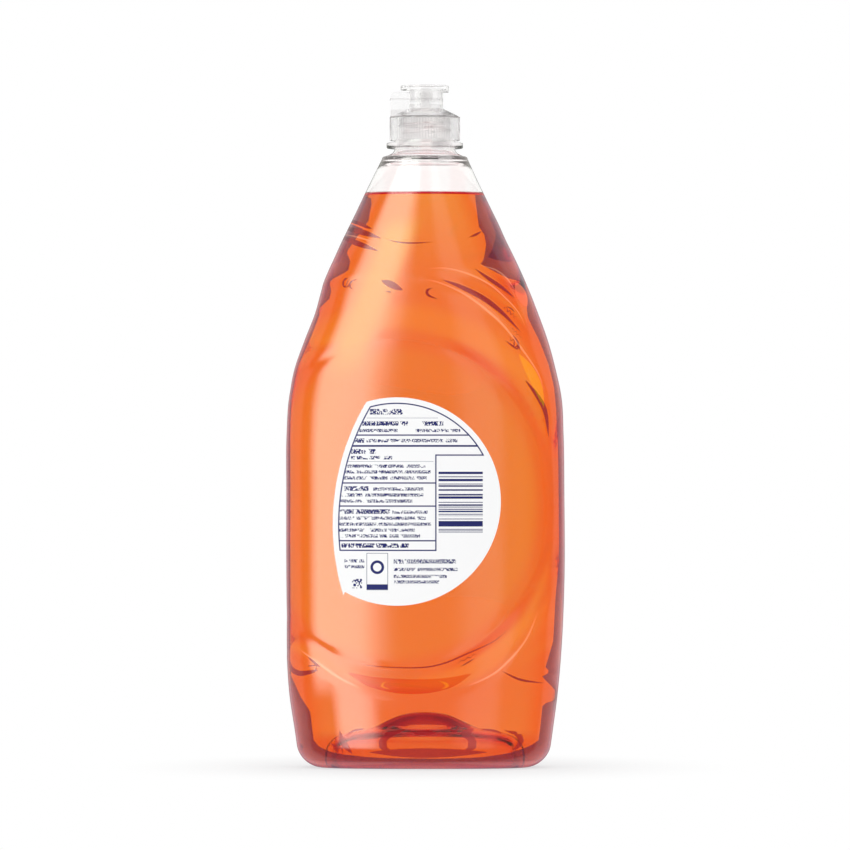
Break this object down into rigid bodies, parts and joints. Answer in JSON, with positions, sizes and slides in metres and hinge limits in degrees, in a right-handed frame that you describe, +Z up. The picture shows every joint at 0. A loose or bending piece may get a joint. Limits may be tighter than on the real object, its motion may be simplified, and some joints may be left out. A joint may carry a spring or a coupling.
{
  "type": "dish soap bottle",
  "caption": "Clear blown bottle of orange washing-up liquid with a sunk label panel, a domed push-up base and a screw-on flip-top dispensing closure",
  "frame": {"origin": "centre of the foot, on the surface that the bottle stands on", "axes": "+Z up along the neck, -Y out of the labelled side, +X to the right of that side, the hinge of the flip-top at -X"},
  "size_m": [0.117, 0.0608, 0.2861],
  "materials": {
    "clear_bottle": "clear glossy blown plastic",
    "soap": "clear orange liquid",
    "label_film": "satin white film with dark blue print bars",
    "clear_closure": "clear moulded plastic, slightly frosted by its knurl"
  },
  "bodies": {
    "bottle": {"bottle": "clear_bottle", "liquid": "soap", "back_label": "label_film"},
    "closure": {"cap_base": "clear_closure"},
    "lid": {"flip_lid": "clear_closure"}
  },
  "joints": [
    {"name": "cap_turn", "type": "hinge", "parent": "bottle", "child": "closure", "pos_m": [0, 0, 0.268], "axis": [0, 0, 1], "range_deg": [0, 450]},
    {"name": "lid_flip", "type": "hinge", "parent": "closure", "child": "lid", "pos_m": [-0.0144, 0, 0.28035], "axis": [0, -1, 0], "range_deg": [0, 140]}
  ]
}
